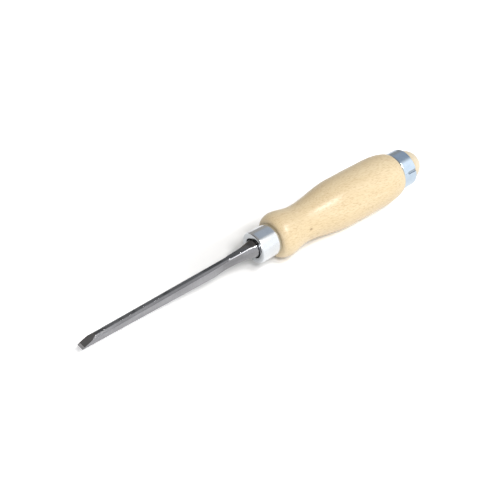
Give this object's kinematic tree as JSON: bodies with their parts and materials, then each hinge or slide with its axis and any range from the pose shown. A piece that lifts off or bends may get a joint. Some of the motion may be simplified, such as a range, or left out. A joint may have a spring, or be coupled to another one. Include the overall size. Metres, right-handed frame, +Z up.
{
  "type": "wood chisel",
  "caption": "Narrow bevel-edge wood chisel: tanged steel blade with a flared bolster, plated front ferrule, turned beech handle and plated striking hoop.",
  "frame": {"origin": "middle of the tool's footprint, on the table that the tool lies on", "axes": "+X along the tool from the cutting edge to the striking end, +Z up from the table, flat back of the blade facing down; the tool lies on its bead and its grip, so its axis is tilted 2.05 degrees with the cutting edge low"},
  "size_m": [0.2482, 0.031, 0.0318],
  "materials": {
    "blade_steel": "satin",
    "ferrule_plate": "gloss",
    "handle_wood": "satin",
    "hoop_plate": "gloss"
  },
  "bodies": {
    "root": {"blade": "blade_steel", "front_ferrule": "ferrule_plate", "handle": "handle_wood", "rear_hoop": "hoop_plate"}
  },
  "joints": []
}
